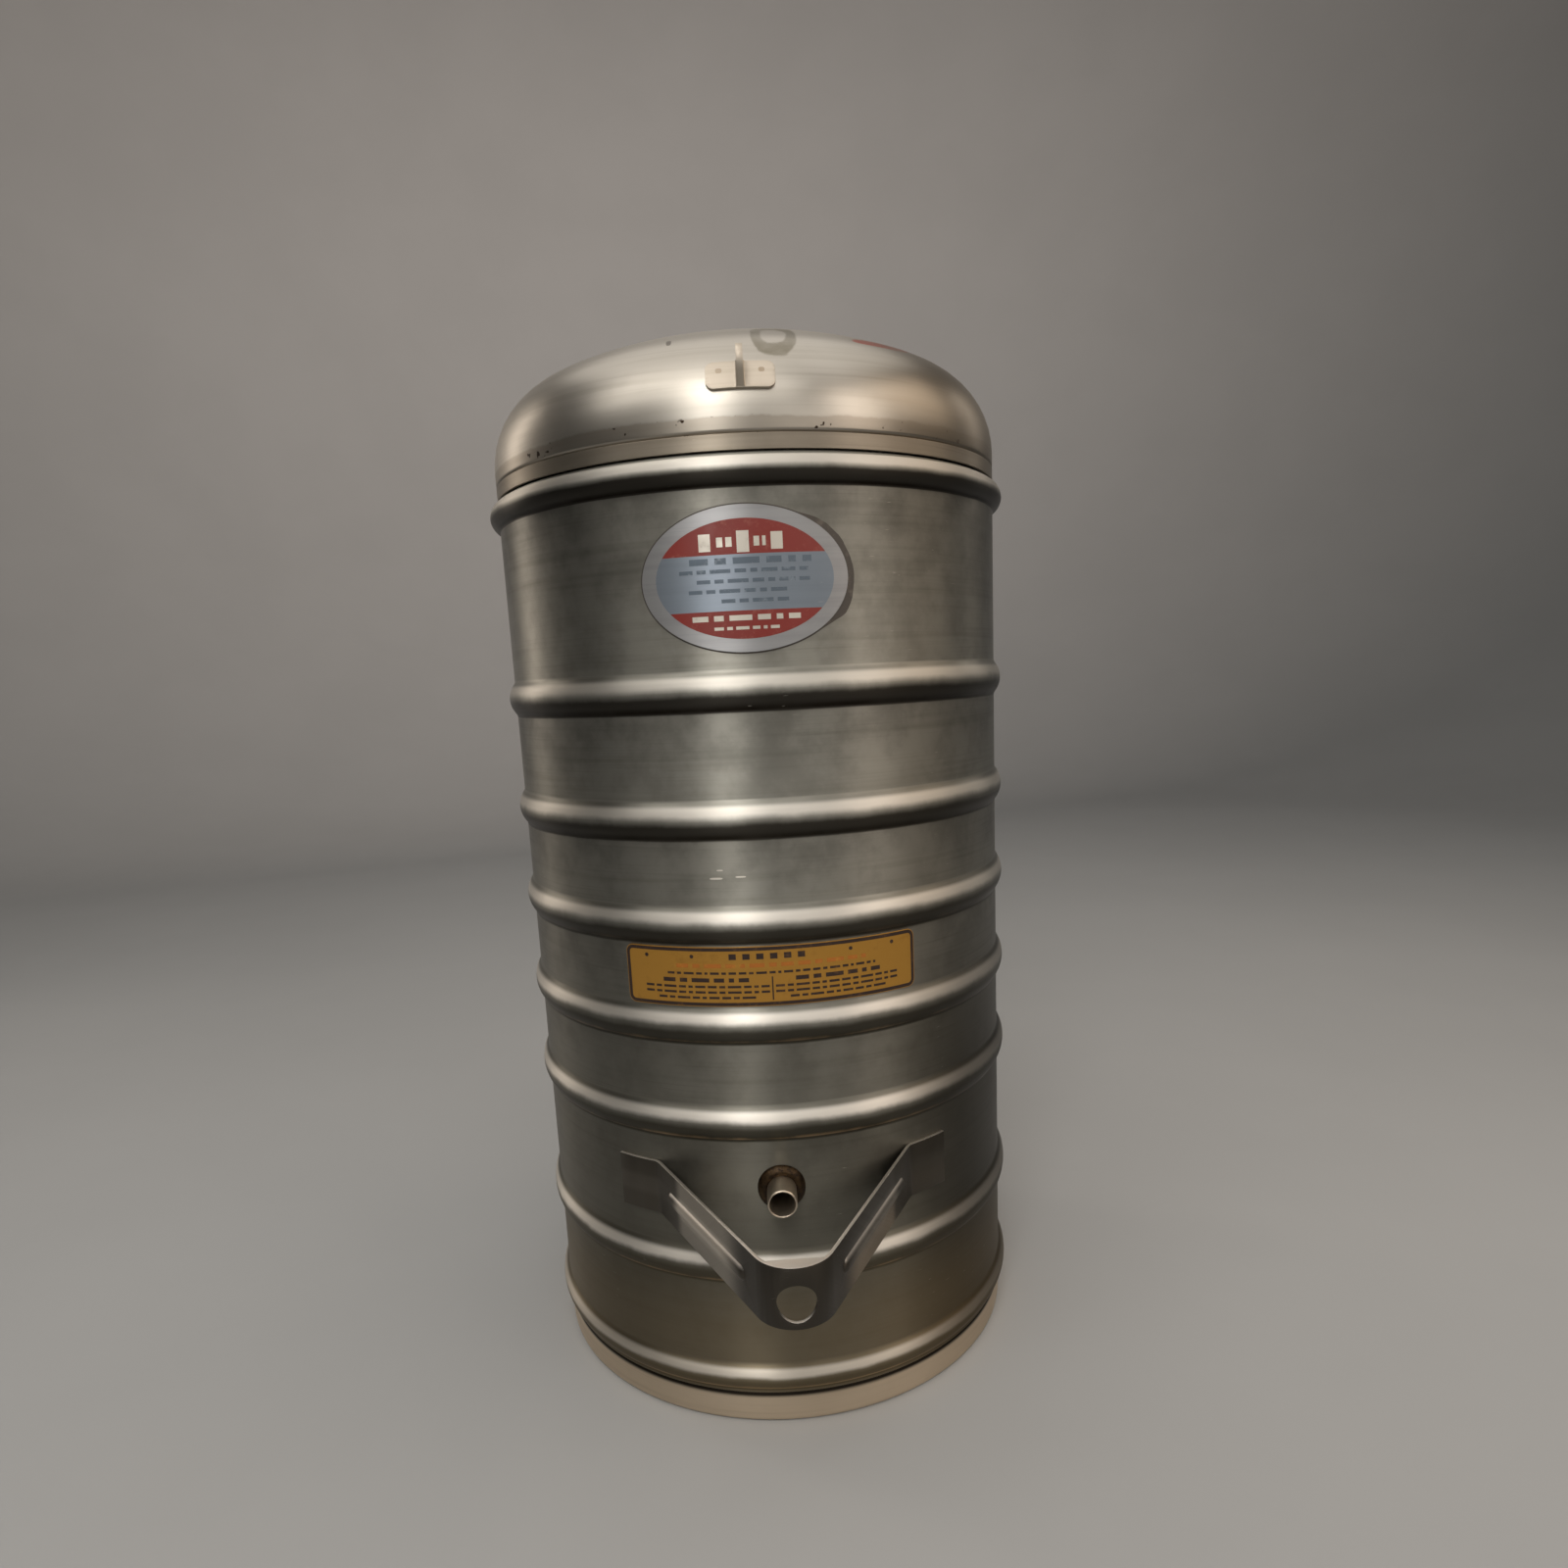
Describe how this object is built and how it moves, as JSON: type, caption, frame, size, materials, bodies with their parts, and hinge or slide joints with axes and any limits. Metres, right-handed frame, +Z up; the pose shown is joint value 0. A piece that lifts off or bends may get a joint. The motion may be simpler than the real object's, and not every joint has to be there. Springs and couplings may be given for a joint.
{
  "type": "insulated liquid carrier",
  "caption": "Tall ribbed stainless vessel with a vacuum jacket, domed lift-off lid, outlet stub and bent strap guard, for carrying hot or cold drinks.",
  "frame": {"origin": "centre of the circle that the foot ring stands on", "axes": "+Z up along the vessel's axis, -Y to the front, where the outlet and the plates are, +X to the right as seen from the front"},
  "size_m": [0.2896, 0.3732, 0.5727],
  "materials": {
    "shell_steel": "worn satin, brushed round",
    "lid_steel": "worn satin, spun",
    "band_steel": "stained satin",
    "foot_steel": "dull, scuffed",
    "jacket_steel": "mill finish",
    "vessel_steel": "clean satin",
    "tube_steel": "satin",
    "guard_steel": "satin",
    "lug_steel": "satin",
    "braze": "heat-darkened",
    "tip_copper": "dull copper",
    "nameplate_metal": "printed, worn",
    "instruction_metal": "printed, worn",
    "gasket_rubber": "soft, matt"
  },
  "bodies": {
    "carrier": {"outer_shell": "shell_steel", "foot_ring": "foot_steel", "bottom_head": "jacket_steel", "evacuation_tip": "tip_copper", "tip_cap": "jacket_steel", "inner_vessel": "vessel_steel", "outlet_tube": "tube_steel", "outlet_collar": "braze", "outlet_ferrule": "braze", "faucet_guard": "guard_steel", "nameplate": "nameplate_metal", "instruction_plate": "instruction_metal"},
    "lid": {"lid_dome": "lid_steel", "lid_band": "band_steel", "lid_pan": "vessel_steel", "lid_gasket": "gasket_rubber", "lid_lug_1": "lug_steel", "lid_lug_2": "lug_steel", "lid_lug_3": "lug_steel"}
  },
  "joints": [
    {"name": "lid_lift", "type": "slide", "parent": "carrier", "child": "lid", "axis": [0, 0, 1], "range_m": [0, 0.15]}
  ]
}
